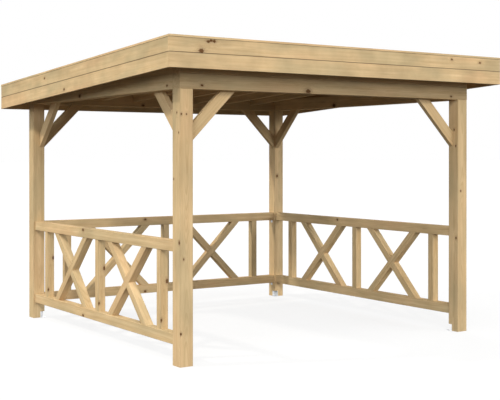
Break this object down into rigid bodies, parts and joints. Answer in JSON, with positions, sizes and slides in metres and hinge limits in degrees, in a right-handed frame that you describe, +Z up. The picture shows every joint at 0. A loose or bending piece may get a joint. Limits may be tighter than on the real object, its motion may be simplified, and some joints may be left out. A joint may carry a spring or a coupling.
{
  "type": "garden gazebo",
  "caption": "Open square garden gazebo of pressure-treated spruce with a nearly flat roof, deep fascia, knee braces and cross-braced balustrades.",
  "frame": {"origin": "on the ground at the middle of the plan", "axes": "+Z up; the open front faces -Y; the roof falls towards +Y; +X is to the right when facing the back"},
  "size_m": [3.419, 3.419, 2.4782],
  "materials": {
    "post_timber": "matt",
    "cross_beam_timber": "matt",
    "side_beam_timber": "matt",
    "brace_timber": "matt",
    "balustrade_timber": "matt",
    "fascia_timber": "matt",
    "deck_timber": "matt",
    "galvanised_steel": "satin",
    "roof_sheet": "matt"
  },
  "bodies": {
    "root": {"post_front_left": "post_timber", "post_front_right": "post_timber", "post_back_left": "post_timber", "post_back_right": "post_timber", "post_anchors": "galvanised_steel", "beam_front": "cross_beam_timber", "beam_back": "cross_beam_timber", "bearer_front": "cross_beam_timber", "beam_left": "side_beam_timber", "beam_right": "side_beam_timber", "side_taper_left": "side_beam_timber", "side_taper_right": "side_beam_timber", "rafters": "side_beam_timber", "edge_rafters": "side_beam_timber", "braces_front": "brace_timber", "braces_right": "brace_timber", "braces_back": "brace_timber", "braces_left": "brace_timber", "top_rail_left": "balustrade_timber", "bottom_rail_left": "balustrade_timber", "uprights_left": "balustrade_timber", "cross_bars_rising_left": "balustrade_timber", "cross_bars_falling_left": "balustrade_timber", "top_rail_back": "balustrade_timber", "bottom_rail_back": "balustrade_timber", "uprights_back": "balustrade_timber", "cross_bars_rising_back": "balustrade_timber", "cross_bars_falling_back": "balustrade_timber", "top_rail_right": "balustrade_timber", "bottom_rail_right": "balustrade_timber", "uprights_right": "balustrade_timber", "cross_bars_rising_right": "balustrade_timber", "cross_bars_falling_right": "balustrade_timber", "rail_brackets": "galvanised_steel", "roof_deck": "deck_timber", "roof_covering": "roof_sheet", "fascia_left_upper": "fascia_timber", "fascia_left_lower": "fascia_timber", "cap_left": "fascia_timber", "fascia_right_upper": "fascia_timber", "fascia_right_lower": "fascia_timber", "cap_right": "fascia_timber", "fascia_front_upper": "fascia_timber", "fascia_front_lower": "fascia_timber", "cap_front": "fascia_timber", "fascia_back_upper": "fascia_timber", "fascia_back_lower": "fascia_timber", "cap_back": "fascia_timber"}
  },
  "joints": []
}
